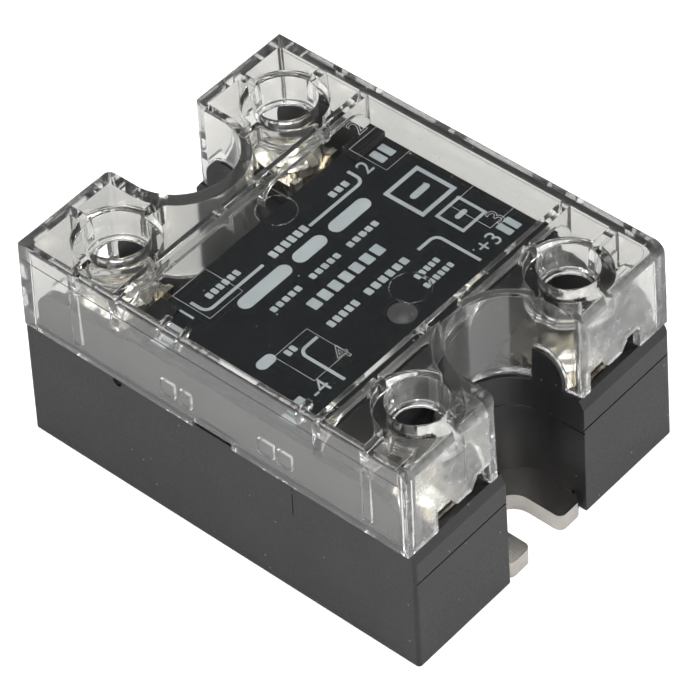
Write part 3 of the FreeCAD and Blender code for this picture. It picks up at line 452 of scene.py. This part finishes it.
def figure(name, text, x, y, size, top, material, body, outline_mm=0.0):
    """A number lying flat with its feet towards +X, either filled or drawn as a moulded outline."""
    curve = bpy.data.curves.new(name, "FONT")
    curve.body = text
    curve.size = size * MM
    curve.align_x, curve.align_y = "CENTER", "CENTER"
    half_thickness = outline_mm / 2 * MM if outline_mm else print_thickness / 2
    if outline_mm:
        curve.fill_mode = "NONE"
        curve.bevel_depth = half_thickness
        curve.bevel_resolution = 1
    else:
        curve.extrude = half_thickness
    text_object = bpy.data.objects.new(name + "_curve", curve)
    bpy.context.scene.collection.objects.link(text_object)
    text_object.rotation_euler = Euler((0.0, 0.0, math.pi / 2))
    text_object.location = (x * MM, y * MM, top - half_thickness)
    bpy.context.view_layer.update()
    mesh = bpy.data.meshes.new_from_object(text_object.evaluated_get(bpy.context.evaluated_depsgraph_get()))
    mesh.transform(text_object.matrix_world)
    bpy.data.objects.remove(text_object)
    mesh.materials.clear()
    mesh.materials.append(material)
    add_object(name, mesh, body)


label_number_size = 3.0
terminal_marks = {"1": (-9.5, -14.8), "2": (-9.3, 14.9), "+3": (9.4, 14.2), "-4": (9.2, -14.2)}
for text, (x, y) in terminal_marks.items():
    figure(f"label_number_{text[-1]}", text, x, y, label_number_size, label_top + print_thickness, film_ink,
           "relay_body")

# ---------------------------------------------------------------- marks moulded in the cover

moulded_depth = 0.02 * MM
moulded_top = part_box("cover")[1].z - moulded_depth
moulded_mark, mark_tree, mark_shader = principled("moulded_mark", (0.4, 0.4, 0.4), Roughness=0.5)
mark_tones = two_tone(mark_tree, noise(mark_tree, 700.0), (0.26, 0.265, 0.265), (0.52, 0.52, 0.52))
drive(mark_tree, mark_tones, mark_shader, "Base Color")
relief(mark_tree, mark_shader, noise(mark_tree, 4000.0), 0.004)
moulded_number_size, moulded_number_line = 3.2, 0.07
moulded_numbers = {"1": (-11.4, -13.6), "2": (-10.5, 15.2), "3": (11.0, 13.7), "4": (11.1, -12.4)}
for text, (x, y) in moulded_numbers.items():
    figure(f"cover_number_{text}", text, x, y, moulded_number_size, moulded_top, moulded_mark, "cover_body",
           outline_mm=moulded_number_line)


def moulded_lines():
    """The fine outlines of the moulding inserts in the cover's top: one rectangle in each quarter."""
    fine = 0.045
    near, far = 12.0, 17.3
    spans = ((-8.9, -3.4), (5.8, 11.5))
    lines = []
    for x0, x1 in spans:
        for side in (-1, 1):
            middle_x, middle_y = (x0 + x1) / 2, side * (near + far) / 2
            lines += [rounded_box(middle_x, side * y, (x1 - x0) / 2, fine / 2, fine) for y in (near, far)]
            lines += [rounded_box(x, middle_y, fine / 2, (far - near) / 2, fine) for x in (x0, x1)]
    return lines


flat_piece("cover_lines", moulded_lines(), moulded_top, moulded_depth / 2, moulded_mark, "cover_body")

# ---------------------------------------------------------------- floor and surroundings

floor_paper, floor_tree, floor_shader = principled("floor_paper", (0.8, 0.8, 0.8), Roughness=0.8)
floor_tones = two_tone(floor_tree, noise(floor_tree, 9.0), (0.79, 0.79, 0.79), (0.81, 0.81, 0.81))
drive(floor_tree, floor_tones, floor_shader, "Base Color")
floor_path = add(floor_tree, "ShaderNodeLightPath")
floor_glow = add(floor_tree, "ShaderNodeEmission", Strength=0.6)
floor_lit = add(floor_tree, "ShaderNodeAddShader")
floor_tree.links.new(floor_shader.outputs["BSDF"], floor_lit.inputs[0])
floor_tree.links.new(floor_glow.outputs["Emission"], floor_lit.inputs[1])
floor_seen = mixed(floor_tree, floor_path.outputs["Is Camera Ray"], floor_shader.outputs["BSDF"],
                   floor_lit.outputs["Shader"])
floor_tree.links.new(floor_seen, floor_tree.nodes["Material Output"].inputs["Surface"])
floor_reach = 3.0
floor_mesh = bpy.data.meshes.new("floor")
floor_signs = ((-1, -1), (1, -1), (1, 1), (-1, 1))
floor_corners = [(sx * floor_reach, sy * floor_reach, cad_box[0].z) for sx, sy in floor_signs]
floor_mesh.from_pydata(floor_corners, [], [(0, 1, 2, 3)])
floor_mesh.materials.append(floor_paper)
floor = bpy.data.objects.new("floor", floor_mesh)
bpy.context.scene.collection.objects.link(floor)

horizon_grey, zenith_grey = (0.5, 0.5, 0.5), (0.07, 0.07, 0.07)
dark_from, dark_to = 0.1, 0.5       # the heights between which the surroundings darken
world = bpy.data.worlds.new("studio")
world.use_nodes = True
sky = world.node_tree
sky_direction = add(sky, "ShaderNodeTexCoord")
sky_height = add(sky, "ShaderNodeSeparateXYZ")
sky.links.new(sky_direction.outputs["Generated"], sky_height.inputs["Vector"])
sky_grey = two_tone(sky, sky_height.outputs["Z"], horizon_grey, zenith_grey, dark_from, dark_to)
sky.links.new(sky_grey, sky.nodes["Background"].inputs["Color"])
bpy.context.scene.world = world

# ---------------------------------------------------------------- lights and camera


def outward(azimuth, elevation):
    """The unit vector away from the relay; azimuth 0 stands on the -Y side and 90 on the +X side."""
    across, rise = math.radians(azimuth), math.radians(elevation)
    return Vector((math.sin(across) * math.cos(rise), -math.cos(across) * math.cos(rise), math.sin(rise)))


def softbox(name, azimuth, elevation, size, watts, distance=1.0):
    """A square area light aimed at the relay."""
    lamp = bpy.data.lights.new(name, "AREA")
    lamp.shape = "SQUARE"
    lamp.size = size
    lamp.energy = watts
    holder = bpy.data.objects.new(name, lamp)
    bpy.context.scene.collection.objects.link(holder)
    away = outward(azimuth, elevation)
    holder.location = away * distance
    holder.rotation_euler = away.to_track_quat("Z", "Y").to_euler()


softbox("front_light", 27.0, 62.0, 0.6, 6.8)
softbox("left_light", -75.0, 38.0, 0.5, 2.2)
softbox("right_light", 98.0, 32.0, 0.5, 7.5)
softbox("back_light", 223.0, 74.0, 0.35, 1.2)

view_azimuth = 43.56
view_elevation = 46.01
view_roll = -3.88
view_distance = 0.45426
view_lens = 209.42
view_target = Vector((1.54, -1.05, 15.0)) * MM
camera_data = bpy.data.cameras.new("camera")
camera_data.lens = view_lens
camera_data.sensor_width = 36.0
camera_data.clip_start = 0.01
camera = bpy.data.objects.new("camera", camera_data)
bpy.context.scene.collection.objects.link(camera)
view_away = outward(view_azimuth, view_elevation)
camera.location = view_target + view_away * view_distance
camera.rotation_mode = "QUATERNION"
rolled = Euler((0.0, 0.0, math.radians(view_roll))).to_quaternion()
camera.rotation_quaternion = view_away.to_track_quat("Z", "Y") @ rolled
bpy.context.scene.camera = camera
bpy.context.scene.view_settings.view_transform = "Standard"
